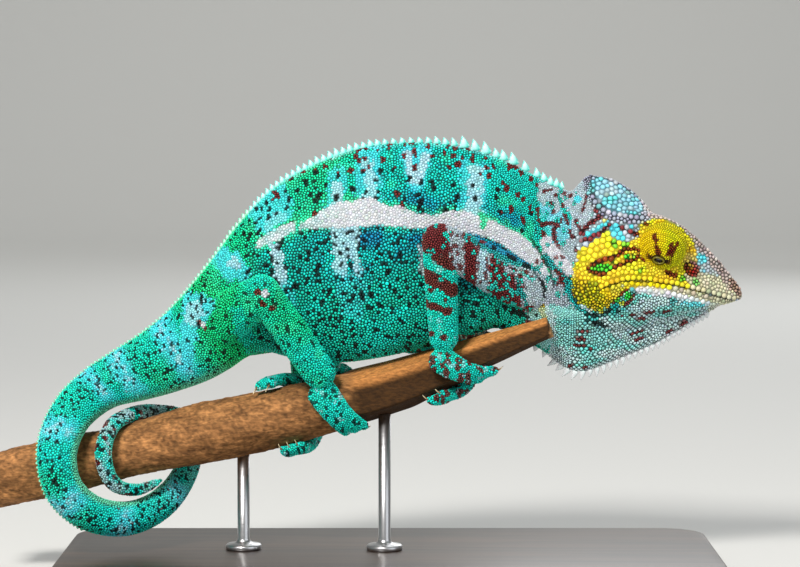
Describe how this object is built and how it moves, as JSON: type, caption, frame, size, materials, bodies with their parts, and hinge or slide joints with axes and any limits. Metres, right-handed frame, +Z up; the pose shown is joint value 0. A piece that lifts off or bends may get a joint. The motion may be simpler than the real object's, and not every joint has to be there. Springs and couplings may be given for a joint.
{
  "type": "panther chameleon museum model",
  "caption": "Life-size still model of a male panther chameleon gripping a cut branch, tail coiled round it, held over a flat display base by rods.",
  "frame": {"origin": "middle of the base's underside", "axes": "+X towards the animal's nose, +Y to its left, +Z up"},
  "size_m": [0.2731, 0.104, 0.1577],
  "materials": {
    "skin": "scaled skin in green and turquoise with white, maroon and yellow markings",
    "eye": "wet gloss",
    "claw": "smooth pale horn",
    "perch": "dry rough bark with a whittled end",
    "stand_base": "dark stained and satin varnished",
    "stand_rod": "satin steel"
  },
  "bodies": {
    "root": {"claw_fore_left_inner_1": "claw", "claw_fore_left_inner_2": "claw", "claw_fore_left_inner_3": "claw", "claw_fore_left_outer_1": "claw", "claw_fore_left_outer_2": "claw", "claw_fore_right_inner_1": "claw", "claw_fore_right_inner_2": "claw", "claw_fore_right_inner_3": "claw", "claw_fore_right_outer_1": "claw", "claw_fore_right_outer_2": "claw", "claw_hind_left_inner_1": "claw", "claw_hind_left_inner_2": "claw", "claw_hind_left_outer_1": "claw", "claw_hind_left_outer_2": "claw", "claw_hind_left_outer_3": "claw", "claw_hind_right_inner_1": "claw", "claw_hind_right_inner_2": "claw", "claw_hind_right_outer_1": "claw", "claw_hind_right_outer_2": "claw", "claw_hind_right_outer_3": "claw", "eye_turret_left": "skin", "eye_turret_right": "skin", "eyeball_left": "eye", "eyeball_right": "eye", "forefoot_left_inner": "skin", "forefoot_left_outer": "skin", "forefoot_right_inner": "skin", "forefoot_right_outer": "skin", "foreleg_left_lower": "skin", "foreleg_left_upper": "skin", "foreleg_right_lower": "skin", "foreleg_right_upper": "skin", "head": "skin", "hindfoot_left_inner": "skin", "hindfoot_left_outer": "skin", "hindfoot_right_inner": "skin", "hindfoot_right_outer": "skin", "hindleg_left_lower": "skin", "hindleg_left_upper": "skin", "hindleg_right_lower": "skin", "hindleg_right_upper": "skin", "hips": "skin", "jaw": "skin", "neck": "skin", "perch": "perch", "stand_base": "stand_base", "stand_rod_front": "stand_rod", "stand_rod_rear": "stand_rod", "tail_1": "skin", "tail_2": "skin", "tail_3": "skin", "tail_4": "skin", "tail_5": "skin", "tail_6": "skin", "tail_7": "skin", "throat": "skin", "trunk_front": "skin", "trunk_rear": "skin"}
  },
  "joints": []
}
